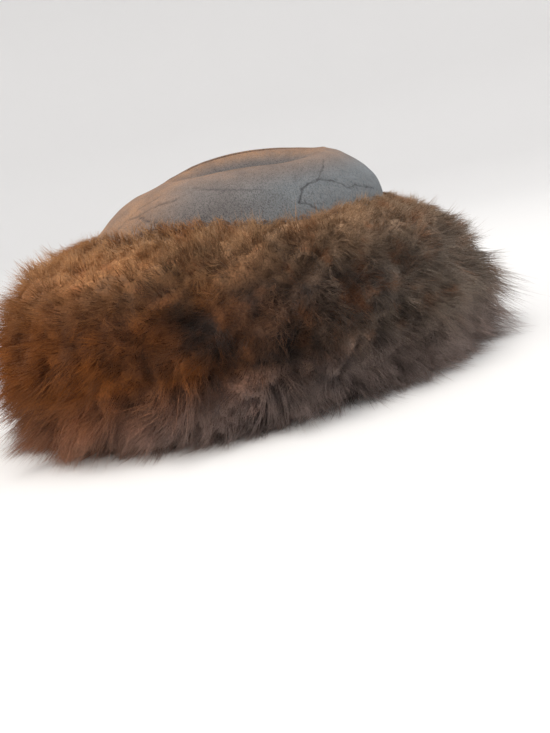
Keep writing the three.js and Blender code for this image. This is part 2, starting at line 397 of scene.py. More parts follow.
def mesh_piece(name, points, faces, values):
    """A smooth object from points and faces, with named values on its points."""
    mesh = bpy.data.meshes.new(name)
    mesh.from_pydata(points.tolist(), [], faces)
    for label, data in values.items():
        kind = "FLOAT_VECTOR" if data.ndim > 1 else "FLOAT"
        layer = mesh.attributes.new(label, kind, "POINT")
        field = "vector" if data.ndim > 1 else "value"
        layer.data.foreach_set(field, np.ascontiguousarray(data, np.float32).ravel())
    mesh.shade_smooth()
    piece = bpy.data.objects.new(name, mesh)
    bpy.context.collection.objects.link(piece)
    return piece


def suede_values(angle, below_ridge):
    """Where the suede is tan or carries a painted highlight along its ridge, where it is blue grey, and where
    painted shade darkens it and its speckle is heaviest.
    """
    side = np.sin(angle) ** 2
    back = ramp(degrees_from(angle, 180), *TAN_BACK)
    # Painted highlight on the ridge's roll and along the ridge, over the tan of the back
    edge = RIDGE_EDGE_HIGHLIGHT * bump(below_ridge, RIDGE_EDGE_HIGHLIGHT_SPREAD)
    ridge = RIDGE_HIGHLIGHT * bump(below_ridge, RIDGE_HIGHLIGHT_SPREAD)
    tan_and_highlight = np.maximum(back, np.maximum(edge, ridge))
    front = ramp(degrees_from(angle, 0), *BLUE_FRONT)
    cool = front * ramp(below_ridge, *BLUE_BELOW)
    # Painted shade with a heavier speckle: a band below the ridge at the sides and a narrow one just under it
    nap_shade_band = NAP_SHADE_BAND * bump(below_ridge - NAP_SHADE_BAND_BELOW, NAP_SHADE_BAND_SPREAD) * (1 - NAP_SHADE_FRONT_LOSS * front)
    nap_and_shade = side * (nap_shade_band + NAP_SHADE_UNDER_RIDGE * bump(below_ridge, NAP_SHADE_UNDER_RIDGE_SPREAD))
    return tan_and_highlight, cool, nap_and_shade


def crown_side_piece():
    angle = np.radians(np.concatenate([
        np.linspace(start, end, steps, endpoint=False) for start, end, steps in WALL_STEPS]))[None, :]
    shares = np.concatenate([
        np.linspace(0, WALL_HIDDEN, WALL_HIDDEN_ROWS), np.linspace(WALL_HIDDEN, 1, WALL_ROWS)[1:]])[:, None]
    outer = crown_wall(shares, angle, 0.0)
    height = np.broadcast_to(through(CROWN_SECTIONS[:, RISE], shares) * CROWN_HEIGHT, outer.shape[:-1])
    wide = np.broadcast_to(angle, height.shape)
    depth, mark = line_depth(wide % (2 * np.pi), height)
    fade = ramp(shares, *LUMPS_START)
    lump = SOFT_LUMP * lumps(outer, SOFT_LUMP_SPACING) + FINE_LUMP * lumps(outer, FINE_LUMP_SPACING)
    slope = np.gradient(outer, axis=0)
    round_the = np.gradient(outer, axis=1)
    normal = np.cross(round_the, slope)
    normal /= np.linalg.norm(normal, axis=-1, keepdims=True)
    outer = outer + normal * ((lump * fade - depth)[..., None])

    # The soft roll where the wall turns over its ridge, from the wall's slope to back under itself
    ridge = outer[-1]
    inward = -outward(angle[0])
    climb = ridge - outer[-3]
    start = np.arctan2(climb[:, 2], np.sum(climb * inward, axis=1))
    turns = np.linspace(0, 1, ROLL_ROWS)[1:, None]
    turn = start + (math.radians(ROLL_END) - start) * turns
    over = RIDGE_ROLL * (np.sin(start) - np.sin(turn))
    rise = RIDGE_ROLL * (np.cos(turn) - np.cos(start))
    roll = ridge + over[..., None] * inward + rise[..., None] * np.array([0, 0, 1.0])

    inner = crown_wall(np.linspace(INSIDE_TOP, 0, INSIDE_ROWS)[:, None], angle, SKIN)
    inner[-1, :, 2] = 0
    rows = np.concatenate([outer, roll, inner])
    hidden = np.full(inner.shape[:-1], INSIDE_BELOW)
    below = np.concatenate([CROWN_HEIGHT - height, np.zeros(roll.shape[:-1]), hidden])
    tan_and_highlight, cool, nap_and_shade = suede_values(np.broadcast_to(angle, below.shape), below)
    line = np.zeros_like(below)
    line[:len(outer)] = mark
    values = {"tan_and_highlight": tan_and_highlight, "cool": cool, "nap_and_shade": nap_and_shade, "line": line}
    faces = quads(len(rows), angle.size, True, True).tolist()
    flat = {label: data.ravel() for label, data in values.items()}
    return mesh_piece("crown_wall", rows.reshape(-1, 3), faces, flat)


def crown_top_piece():
    """The sunken oval top: a shallow dish whose edge tucks under the ridge's roll."""
    angle = np.radians(np.arange(0, 360, DISH_STEP))
    ridge = crown_wall(np.array(1.0), angle, 0.0)
    middle = (ridge[0] + ridge[angle.size // 2]) / 2
    share = np.linspace(DISH_MIDDLE, 1, DISH_ROWS)[:, None]
    across = (ridge - middle) * (1, 1, 0)
    tucked = 1 - DISH_TUCK / np.linalg.norm(across, axis=1, keepdims=True)
    lowest = middle[2] - TOP_SINK
    height = lowest + (ridge[:, 2] - DISH_DROP - lowest) * share ** 2
    upper = middle * (1, 1, 0) + share[..., None] * (across * tucked)
    upper[..., 2] = height
    uneven = DISH_LUMP * lumps(upper, DISH_LUMP_SPACING) + DISH_RIPPLE * lumps(upper, DISH_RIPPLE_SPACING)
    upper[..., 2] += uneven * (1 - share ** 4)
    under = upper - (0, 0, SKIN)
    rows = np.concatenate([under, upper[::-1]])
    poles = np.stack([under[0].mean(axis=0), upper[0].mean(axis=0)])
    points = np.concatenate([rows.reshape(-1, 3), poles])
    columns = angle.size
    faces = quads(len(rows), columns, False, True).tolist()
    first = len(points) - 2
    last_row = first - columns
    for s in range(columns):
        on = (s + 1) % columns
        faces.append((first, on, s))
        faces.append((first + 1, last_row + s, last_row + on))
    nothing = np.zeros(len(points))
    outwards = np.tile(np.concatenate([share, share[::-1]]), (1, columns))
    # Painted highlight towards the rim, and painted shade in the sunken middle
    tan_and_highlight = np.concatenate([ramp(outwards, *DISH_RIM_HIGHLIGHT).ravel(), [0, 0]])
    values = {"tan_and_highlight": tan_and_highlight, "cool": nothing, "nap_and_shade": DISH_NAP_SHADE * (1 - tan_and_highlight), "line": nothing}
    return mesh_piece("crown_dish", points, faces, values)


# The wool

def fur_reach(angle):
    ahead = np.cos(angle)
    end = np.where(ahead > 0, FUR_REACH_FRONT, FUR_REACH_BACK)
    return FUR_REACH_SIDE + (end - FUR_REACH_SIDE) * ahead ** 2


def pitched(angle, pitch):
    ahead = np.cos(angle)
    fan = 1 + (np.where(ahead > 0, FRONT_FAN, BACK_FAN) - 1) * np.abs(ahead)
    rise = np.radians(pitch * fan - END_DROP * ahead ** 2)
    return outward(angle) * np.cos(rise)[..., None] + np.stack([rise * 0, rise * 0, np.sin(rise)], -1)


def wool_profile(row, angle, share):
    """A point of the wool at a share of its reach, its outward direction and its whole reach.
    row runs from 0 at the floor to 1 at the top edge."""
    height, pitch, reach = (through(WOOL_ROWS[:, column], row) for column in range(3))
    direction = pitched(angle, pitch + 0 * angle)
    reach = reach * fur_reach(angle)
    base = oval(RIM_WIDTH / 2, RIM_LENGTH / 2, angle, 0.0, height * CUFF_HEIGHT + 0 * angle)
    base = base + outward(angle + 0 * row) * SKIN
    return base + direction * (share * reach)[..., None], direction, reach


def crown_edge(angle, height, out):
    """A point on the crown's wall at a height, moved out from it."""
    shares = np.linspace(0, 1, EDGE_SAMPLES)
    share = np.interp(height, through(CROWN_SECTIONS[:, RISE], shares) * CROWN_HEIGHT, shares)
    return crown_wall(share + 0 * angle, angle, 0.0) + outward(angle) * out


def fringe_height(angle):
    """The height at which the wool's top edge meets the crown."""
    level = FRINGE_FRONT + (FRINGE_BACK - FRINGE_FRONT) * ramp(np.cos(angle), *FRINGE_TURN)
    round_the = np.stack([np.sin(angle), np.cos(angle), 0 * angle], -1) * WOOL_RADIUS
    return level + FRINGE_WAVE * lumps(round_the, FRINGE_WAVE_SPACING)


def lock_relief(row, angle, width, length):
    """How far the wool stands up in locks, from 0 in a parting to 1 on a lock.
    The locks run along the flow of the wool, which slants down and back at the sides."""
    up = row * WOOL_SPAN
    turn = angle + LOCK_SLANT * np.sin(angle) * up / WOOL_RADIUS
    place = np.stack(np.broadcast_arrays(
        WOOL_RADIUS * np.sin(turn) / width, WOOL_RADIUS * np.cos(turn) / width, up / length), -1)
    return np.clip(np.abs(lumps(place, 1.0)) * LOCK_CONTRAST, 0, 1) ** LOCK_ROUNDNESS


def lock_lift(row, angle):
    """How far the wool is moved out by its locks, and how deep in a parting it is."""
    locks = lock_relief(row, angle, LOCK_WIDTH, LOCK_LENGTH)
    tufts = lock_relief(row, angle + TUFT_SHIFT, TUFT_WIDTH, TUFT_LENGTH)
    lift = LOCK_DEPTH * (locks - LOCK_LEVEL) + TUFT_DEPTH * (tufts - LOCK_LEVEL)
    return lift, 1 - locks * (1 - TUFT_SHADE + TUFT_SHADE * tufts)


def front_top(level, angle):
    """1 at the top of the front, where the wool is shorter, and 0 at the sides, the back and the hem."""
    return ramp(np.cos(angle), *FRONT_TRIM_TURN) * ramp(level, *FRONT_TRIM_LEVELS)


def wool_under_piece():
    """The dense fleece under the strands: a closed lumpy ring round the crown."""
    angle = np.radians(np.arange(0, 360, UNDER_STEP))[None, :]
    row = np.linspace(0, 1, UNDER_ROWS)[:, None]
    outer, direction, _ = wool_profile(row, angle, UNDER_SHARE - UNDER_TRIM * front_top(row, angle))
    lift, parting = lock_lift(row, angle)
    outer = outer + direction * (UNDER_LIFT * lift[..., None])
    outer[..., 2] = np.maximum(outer[..., 2], UNDER_FLOOR)
    heights = [fringe_height(angle[0]) + UNDER_TOP_RISE, *UNDER_INSIDE_HEIGHTS]
    inner = np.stack([crown_edge(angle[0], height, CROWN_CLEARANCE) for height in heights])
    rows = np.concatenate([outer, inner])
    shade = parting * (1 - PARTING_LOSS * ramp(row, *PARTING_LEVELS))
    deep = np.concatenate([shade, np.full(inner.shape[:-1], UNDER_INSIDE_SHADE)])
    middling = np.full(deep.size, UNDER_TONE)
    along = np.full(deep.size, UNDER_ALONG)
    faces = quads(len(rows), angle.size, True, True).tolist()
    values = {"along": along, "tone": middling, "lock_tone": middling, "parting": deep.ravel()}
    return mesh_piece("wool_under", rows.reshape(-1, 3), faces, values)


def wool_patch(name, first, last):
    """The surface that one sector's strands grow from, with their direction and length."""
    angle = np.radians(np.linspace(first, last, PATCH_COLUMNS))[None, :]
    row = np.linspace(0, 1, PATCH_ROWS)[:, None]
    points, direction, reach = wool_profile(row, angle, ROOT_SHARE)
    lift, parting = lock_lift(row, angle)
    points = points + direction * lift[..., None]
    points[..., 2] = np.maximum(points[..., 2], ROOT_FLOOR)
    fringe = crown_edge(angle[0], fringe_height(angle[0]) + FRINGE_ROOT_RISE, FRINGE_ROOT_OUT)[None]
    points = np.concatenate([points, (points[-1:] + fringe) / 2, fringe])
    steep = pitched(angle, np.full_like(angle, FRINGE_PITCH)) * FRINGE_LEAN + np.array([0, 0, FRINGE_LIFT])
    direction = np.concatenate([direction, steep, steep])
    reach = np.concatenate([reach, *(reach[-1:] * share for share in FRINGE_REACH)])
    level = np.linspace(0, 1, len(points))[:, None]
    parting = np.concatenate([parting, parting[-1:], parting[-1:]])
    parting = parting * (1 - PARTING_LOSS * ramp(level, *PARTING_LEVELS))
    side = np.sin(angle) ** 2
    backward = np.where(np.sin(angle) > 0, 1, -1)[..., None] * np.stack(
        [np.cos(angle) * RIM_WIDTH, np.sin(angle) * RIM_LENGTH, 0 * angle], -1) / RIM_LENGTH
    sweep = SWEEP_BACK * side * (1 - SWEEP_LOSS * ramp(level, *SWEEP_LEVELS))
    growth = direction + backward * sweep[..., None]
    growth[..., 2] -= SWEEP_DOWN * (1 - ramp(level, *DOWN_LEVELS))
    growth /= np.linalg.norm(growth, axis=-1, keepdims=True)
    hem = 1 + HEM_LENGTH * ramp(level, *HEM_LEVELS)
    trim = 1 - FRONT_TRIM * front_top(level, angle)
    length = reach * (TIP_SHARE - ROOT_SHARE) * (1 + SWEPT_LENGTH * sweep) * hem * trim
    faces = quads(len(points), angle.size, False, False).tolist()
    loose = 1 + LOOSENESS * ramp(level, *LOOSE_LEVELS) + 0 * angle
    values = {"growth": growth.reshape(-1, 3), "strand": length.ravel(), "parting": parting.ravel(),
              "loose": loose.ravel()}
    return mesh_piece(name, points.reshape(-1, 3), faces, values)


class Desk:
    """Adds nodes to a tree, sets their sockets and joins them."""

    def __init__(self, tree):
        self.tree = tree

    def add(self, kind, sockets=None, **settings):
        node = self.tree.nodes.new(kind)
        for name, value in settings.items():
            setattr(node, name, value)
        for name, value in (sockets or {}).items():
            self.put(node.inputs[name], value)
        return node

    def put(self, socket, value):
        if isinstance(value, bpy.types.NodeSocket):
            self.tree.links.new(value, socket)
        else:
            socket.default_value = value

    def math(self, operation, a, b=0.0):
        return self.add("ShaderNodeMath", {0: a, 1: b}, operation=operation).outputs[0]

    def vector(self, operation, a, b):
        return self.add("ShaderNodeVectorMath", {0: a, 1: b}, operation=operation).outputs[0]

    def scaled(self, vector, factor):
        node = self.add("ShaderNodeVectorMath", {0: vector, "Scale": factor}, operation="SCALE")
        return node.outputs[0]


def wool_tree():
    """Strands of wool scattered on a patch, drawn together into tufts and locks, bent and tousled."""
    tree = bpy.data.node_groups.new("wool_strands", "GeometryNodeTree")
    tree.interface.new_socket("Patch", in_out="INPUT", socket_type="NodeSocketGeometry")
    for name in WOOL_SETTINGS:
        tree.interface.new_socket(name, in_out="INPUT", socket_type="NodeSocketFloat")
    tree.interface.new_socket("Seed", in_out="INPUT", socket_type="NodeSocketInt")
    tree.interface.new_socket("Wool", in_out="INPUT", socket_type="NodeSocketMaterial")
    tree.interface.new_socket("Strands", in_out="OUTPUT", socket_type="NodeSocketGeometry")
    desk = Desk(tree)
    given = desk.add("NodeGroupInput").outputs
    patch, seed = given["Patch"], given["Seed"]

    def scatter(density, offset):
        node = desk.add("GeometryNodeDistributePointsOnFaces", {
            "Mesh": patch, "Density": density,
            "Seed": desk.math("ADD", seed, offset)}, distribute_method="RANDOM")
        return node.outputs["Points"]

    def centres(spacing, offset):
        node = desk.add("GeometryNodeDistributePointsOnFaces", {
            "Mesh": patch, "Distance Min": spacing, "Density Max": CENTRE_DENSITY,
            "Seed": desk.math("ADD", seed, offset)}, distribute_method="POISSON")
        return node.outputs["Points"]

    def chance(low, high, offset, ident=None):
        node = desk.add("FunctionNodeRandomValue", {2: low, 3: high, 8: desk.math("ADD", seed, offset)},
                        data_type="FLOAT")
        if ident is not None:
            desk.put(node.inputs[7], ident)
        return node.outputs[1]

    def chance_vector(size, offset, ident=None):
        low, high = (-size,) * 3, (size,) * 3
        node = desk.add("FunctionNodeRandomValue", {0: low, 1: high, 8: desk.math("ADD", seed, offset)},
                        data_type="FLOAT_VECTOR")
        if ident is not None:
            desk.put(node.inputs[7], ident)
        return node.outputs[0]

    def named(label, kind):
        return desk.add("GeometryNodeInputNamedAttribute", {"Name": label}, data_type=kind).outputs[0]

    def store(geometry, label, value, kind):
        node = desk.add("GeometryNodeStoreNamedAttribute", {"Geometry": geometry, "Name": label},
                        data_type=kind, domain="POINT")
        desk.put(node.inputs["Value"], value)
        return node.outputs[0]

    place = desk.add("GeometryNodeInputPosition").outputs[0]

    def nearest(points):
        index = desk.add("GeometryNodeSampleNearest", {"Geometry": points}, domain="POINT").outputs[0]
        sample = desk.add("GeometryNodeSampleIndex", {"Geometry": points, "Index": index},
                          data_type="FLOAT_VECTOR", domain="POINT")
        desk.put(sample.inputs["Value"], place)
        return index, desk.vector("SUBTRACT", sample.outputs[0], place)

    lock_index, to_lock = nearest(centres(given["Lock Spacing"], LOCK_OFFSET))
    tuft_index, to_tuft = nearest(centres(given["Tuft Spacing"], TUFT_OFFSET))
    growth, strand = named("growth", "FLOAT_VECTOR"), named("strand", "FLOAT")
    spread = desk.math("MULTIPLY", named("loose", "FLOAT"), given["Splay"])

    def strands(density, sections, lengths, thick, pull, stray, offset):
        points = scatter(density, offset)
        tuft_length = chance(*TUFT_LENGTHS, offset + 1, tuft_index)
        own_length = desk.math("MULTIPLY", strand, chance(*lengths, offset + 2))
        length = desk.math("MULTIPLY", own_length, tuft_length)
        lean = desk.scaled(desk.vector("ADD", chance_vector(LOCK_LEAN, offset + 3, lock_index),
                                       chance_vector(TUFT_LEAN, offset + 4, tuft_index)), length)
        drop = desk.add("ShaderNodeCombineXYZ", {
            "Z": desk.math("MULTIPLY", desk.math("MULTIPLY", length, given["Droop"]), -1.0)}).outputs[0]
        bend = desk.vector("ADD", desk.scaled(to_lock, given["Lock Pull"]), desk.vector("ADD", lean, drop))
        points = store(points, "bend", bend, "FLOAT_VECTOR")
        drawn = desk.scaled(to_tuft, desk.math("MULTIPLY", given["Tuft Pull"], pull))
        points = store(points, "draw", drawn, "FLOAT_VECTOR")
        points = store(points, "tone", chance(0.0, 1.0, offset + 5), "FLOAT")
        points = store(points, "lock_tone", chance(0.0, 1.0, offset + 6, tuft_index), "FLOAT")
        points = store(points, "size", length, "FLOAT")
        way = desk.vector("ADD", growth, desk.scaled(chance_vector(stray, offset + 7), spread))
        turn = desk.add("FunctionNodeAlignRotationToVector", {"Vector": way}, axis="Z").outputs[0]
        radius = desk.math("MULTIPLY", given["Strand Radius"], thick)
        size = desk.add("ShaderNodeCombineXYZ", {"X": radius, "Y": radius, "Z": length}).outputs[0]
        cone = desk.add("GeometryNodeMeshCone", {
            "Vertices": 3, "Side Segments": sections, "Radius Top": 0.0, "Radius Bottom": 1.0, "Depth": 1.0})
        height = desk.add("ShaderNodeSeparateXYZ", {0: place}).outputs[2]
        belly = desk.scaled(desk.vector("MULTIPLY", place, (1.0, 1.0, 0.0)), height)
        full = desk.add("GeometryNodeSetPosition", {"Geometry": cone.outputs["Mesh"], "Offset": belly})
        hair = store(full.outputs[0], "along", height, "FLOAT")
        placed = desk.add("GeometryNodeInstanceOnPoints", {
            "Points": points, "Instance": hair, "Rotation": turn, "Scale": size})
        return placed.outputs[0]

    joined = desk.add("GeometryNodeJoinGeometry")
    fluff = strands(given["Fluff Density"], **FLUFF)
    wisps = strands(given["Wisp Density"], **WISPS)
    tree.links.new(fluff, joined.inputs[0])
    tree.links.new(wisps, joined.inputs[0])
    real = desk.add("GeometryNodeRealizeInstances", {"Geometry": joined.outputs[0]}).outputs[0]

    along = named("along", "FLOAT")
    curve = desk.math("MULTIPLY", along, along)
    wave = desk.add("ShaderNodeTexNoise", {
        "Vector": place, "Scale": TOUSLE_SCALE, "Detail": 1.0, "Roughness": 0.5})
    sway = desk.vector("SUBTRACT", wave.outputs["Color"], (0.5, 0.5, 0.5))
    reach = desk.math("MULTIPLY", desk.math("MULTIPLY", along, named("size", "FLOAT")), given["Tousle"])
    move = desk.vector("ADD", desk.scaled(named("bend", "FLOAT_VECTOR"), curve), desk.scaled(sway, reach))
    move = desk.vector("ADD", move, desk.scaled(named("draw", "FLOAT_VECTOR"), along))
    moved = desk.add("GeometryNodeSetPosition", {"Geometry": real, "Offset": move}).outputs[0]
    smooth = desk.add("GeometryNodeSetShadeSmooth", {"Geometry": moved}).outputs[0]
    finished = desk.add("GeometryNodeSetMaterial", {"Geometry": smooth, "Material": given["Wool"]}).outputs[0]
    desk.add("NodeGroupOutput", {"Strands": finished})
    return tree


def clear_of_crown(points):
    """Moves strand points that would enter the crown out to its wall."""
    shares = np.linspace(0, 1, CLEARING_SAMPLES)
    heights = through(CROWN_SECTIONS[:, RISE], shares) * CROWN_HEIGHT
    share = np.interp(points[:, 2], heights, shares)
    width, length, _, forward = crown_size(share)
    x = (points[:, 0] - HAT_X) / (width * RIM_WIDTH / 2 + CROWN_CLEARANCE)
    y = (points[:, 1] - HAT_Y + forward) / (length * RIM_LENGTH / 2 + CROWN_CLEARANCE)
    inside = np.maximum(np.hypot(x, y), INNERMOST_SHARE)
    grow = np.where(inside < 1, 1 / inside, 1)
    points[:, 0] = HAT_X + (points[:, 0] - HAT_X) * grow
    points[:, 1] = HAT_Y - forward + (points[:, 1] - HAT_Y + forward) * grow


def settle_on_floor(points):
    """Strands that would go through the floor lie down on it."""
    low = np.minimum(points[:, 2], FLOOR_SOFT)
    points[:, 2] = FLOOR_SOFT * np.exp(low / FLOOR_SOFT - 1) + np.maximum(points[:, 2] - FLOOR_SOFT, 0)


def within_reach(points):
    """Holds the longest wisps inside the room that the hat takes up."""
    for axis in (0, 1):
        most = max(abs(cad_low[axis]), abs(cad_high[axis])) + WISP_ROOM
        past = np.maximum(np.abs(points[:, axis]) - most, 0)
        points[:, axis] -= np.sign(points[:, axis]) * past * past / (past + WISP_ROOM / 2)
        over = np.maximum(np.abs(points[:, axis]) - most - WISP_ROOM / 2, 0)
        points[:, axis] -= np.sign(points[:, axis]) * over


def wool_piece(name, first, last, tree, wool, number):
    patch = wool_patch(name + "_patch", first, last)
    modifier = patch.modifiers.new("strands", "NODES")
    modifier.node_group = tree
    settings = {**WOOL_SETTINGS, "Seed": WOOL_SEED + number, "Wool": wool}
    for item in tree.interface.items_tree:
        if item.in_out == "INPUT" and item.name in settings:
            modifier[item.identifier] = settings[item.name]
    scene_graph = bpy.context.evaluated_depsgraph_get()
    mesh = bpy.data.meshes.new_from_object(patch.evaluated_get(scene_graph))
    bpy.data.objects.remove(patch)
    count = len(mesh.vertices)
    points = np.empty(count * 3, np.float32)
    mesh.vertices.foreach_get("co", points)
    points = points.reshape(-1, 3).astype(float)
    clear_of_crown(points)
    settle_on_floor(points)
    within_reach(points)
    mesh.vertices.foreach_set("co", points.astype(np.float32).ravel())
    for label in ("bend", "draw", "size", "growth", "strand", "loose"):
        layer = mesh.attributes.get(label)
        if layer:
            mesh.attributes.remove(layer)
    mesh.update()
    piece = bpy.data.objects.new(name, mesh)
    bpy.context.collection.objects.link(piece)
    return piece


# Materials

MOTTLE_RANGE = (0.3, 0.7)
SPECULAR = 0.2


def mottle_group():
    """Soft patches and fine grain of a natural hide, as two values from 0 to 1."""
    group = bpy.data.node_groups.new("hide_mottle", "ShaderNodeTree")
    group.interface.new_socket("Place", in_out="INPUT", socket_type="NodeSocketVector")
    group.interface.new_socket("Patch Scale", in_out="INPUT", socket_type="NodeSocketFloat")
    group.interface.new_socket("Grain Scale", in_out="INPUT", socket_type="NodeSocketFloat")
    group.interface.new_socket("Patches", in_out="OUTPUT", socket_type="NodeSocketFloat")
    group.interface.new_socket("Grain", in_out="OUTPUT", socket_type="NodeSocketFloat")
    desk = Desk(group)
    given = desk.add("NodeGroupInput").outputs
    patches = desk.add("ShaderNodeTexNoise", {
        "Vector": given["Place"], "Scale": given["Patch Scale"], "Detail": 4.0, "Roughness": 0.6})
    grain = desk.add("ShaderNodeTexNoise", {
        "Vector": given["Place"], "Scale": given["Grain Scale"], "Detail": 2.0, "Roughness": 0.65})

    def spread(value):
        low, high = MOTTLE_RANGE
        return desk.add("ShaderNodeMapRange", {"Value": value, "From Min": low, "From Max": high}).outputs[0]

    desk.add("NodeGroupOutput", {
        "Patches": spread(patches.outputs[0]), "Grain": spread(grain.outputs[0])})
    return group


class Finish(Desk):
    """A material with its Principled shader, and a few ways to mix colours."""

    def __init__(self, name, rough, sheen=0.0, sheen_rough=0.5):
        self.material = bpy.data.materials.new(name)
        self.material.use_nodes = True
        super().__init__(self.material.node_tree)
        self.shader = self.tree.nodes["Principled BSDF"]
        self.shader.inputs["Roughness"].default_value = rough
        self.shader.inputs["Specular IOR Level"].default_value = SPECULAR
        self.shader.inputs["Sheen Weight"].default_value = sheen
        self.shader.inputs["Sheen Roughness"].default_value = sheen_rough

    def hide(self, mottle, patch_scale, grain_scale):
        """The piece's own coordinates, and the hide's soft patches and fine grain on them."""
        place = self.add("ShaderNodeTexCoord").outputs["Object"]
        soft = self.add("ShaderNodeGroup", {
            "Place": place, "Patch Scale": patch_scale, "Grain Scale": grain_scale}, node_tree=mottle)
        return place, soft.outputs["Patches"], soft.outputs["Grain"]

    def value(self, label):
        return self.add("ShaderNodeAttribute", attribute_name=label).outputs["Fac"]

    def mix(self, factor, a, b, blend="MIX"):
        node = self.add("ShaderNodeMix", data_type="RGBA", blend_type=blend)
        for socket, value in zip((node.inputs[0], node.inputs[6], node.inputs[7]), (factor, a, b)):
            self.put(socket, value)
        return node.outputs[2]

    def remap(self, value, low, high, to_low=0.0, to_high=1.0):
        node = self.add("ShaderNodeMapRange", {
            "Value": value, "From Min": low, "From Max": high, "To Min": to_low, "To Max": to_high})
        return node.outputs[0]


def colour(red, green, blue):
    return (red, green, blue, 1.0)


# Colours of the suede, in pairs from dark to light patches, the tan pair also serving as painted highlight,
# and of its painted shade, nap speckle, dust and lines
SUEDE_GREY = colour(0.157, 0.138, 0.130), colour(0.226, 0.203, 0.192)
SUEDE_BLUE = colour(0.154, 0.174, 0.187), colour(0.212, 0.238, 0.255)
SUEDE_TAN_AND_HIGHLIGHT = colour(0.290, 0.145, 0.067), colour(0.420, 0.230, 0.122)
SUEDE_SHADOW = colour(0.070, 0.064, 0.062)
SUEDE_SPECKLE = colour(0.030, 0.027, 0.029)
SUEDE_DUST = colour(0.28, 0.255, 0.235)
# Dark vein marks, with painted shade in the creases and folds
SUEDE_VEIN_AND_CREASE_SHADE = colour(0.028, 0.026, 0.029)
SPECKLE_STRETCH = (1500.0, 1500.0, 260.0)
SPECKLE_RANGE = (0.43, 0.65)
SPECKLE_SHARE, SPECKLE_ON_NAP = 0.32, 0.5
SHADOW_SHARE = 0.45
DUST_SHARE = 0.2
LINE_SHARE = 0.9
NAP_HEIGHT, NAP_STRENGTH = 0.0006, 0.5
SPECKLE_RELIEF, GRAIN_RELIEF = -0.6, 0.5
TAN_PATCHES = (0.55, 1.0)
SUEDE_PATCH_SCALE, SUEDE_GRAIN_SCALE = 55.0, 420.0

# Colours of the wool, in pairs from dark to light, and where they lie along the hat and upwards
WOOL_TAUPE = colour(0.250, 0.185, 0.140), colour(0.390, 0.310, 0.240)
# Ash and dark rust lie along the sides' middle, darkened there as painted shade
WOOL_ASH_SHADED = colour(0.042, 0.038, 0.037), colour(0.255, 0.185, 0.140)
WOOL_RUST_SHADED = colour(0.034, 0.018, 0.012), colour(0.225, 0.075, 0.018)
WOOL_RUST = colour(0.340, 0.088, 0.010), colour(0.500, 0.160, 0.022)
# Tan of the top edge, lightened as painted top light
WOOL_CREST_TOP_LIT = colour(0.400, 0.235, 0.120), colour(0.430, 0.190, 0.064)
WOOL_CREST_TIP_TOP_LIT = colour(0.640, 0.400, 0.215)
WOOL_HEM = colour(0.360, 0.250, 0.215), colour(0.600, 0.480, 0.440)
# Rust-coloured flecks that stand in for glints: painted highlight
WOOL_FLECK_GLINT = colour(0.300, 0.105, 0.032)
WOOL_SHADE = colour(0.040, 0.028, 0.023)
# Painted shade in the partings between locks, deepest towards the roots
WOOL_PARTING_SHADE = colour(0.022, 0.014, 0.011)
WOOL_TIP = colour(0.6, 0.6, 0.6)
SHADED_ASH_STRETCH = (-0.065, -0.015)
SHADED_RUST_STRETCH = (0.0, 0.07)
RUST_STRETCH = (0.08, 0.14)
CREST_STRETCH = (-0.09, 0.10)
HEM_STRETCH = (0.16, 0.08)
CREST_HEIGHTS = (0.070, 0.110)
HEM_HEIGHTS = (0.040, 0.008)
FLECK_HEIGHTS = (0.02, 0.05)
FLECK_SCALE = 62.0
FLECK_RANGE = (0.52, 0.66)
FLECK_SHARE = 0.65
BLOTCH_RANGE = (0.2, 0.8)
BLOTCH_SHARE = 0.4
CREST_SHARE, CREST_TIP_SHARE = 0.9, 0.6
HEM_SHARES = (0.3, 0.85)
PARTING_ALONG, PARTING_SHARES = (0.1, 1.0), (0.8, 0.3)
TIP_ALONG, TIP_LIGHT = (0.5, 1.0), 0.5
FUZZ_RANGE, FUZZ_SHARE = (0.25, 0.75), 0.9
WOOL_PATCH_SCALE, WOOL_GRAIN_SCALE = 42.0, 800.0


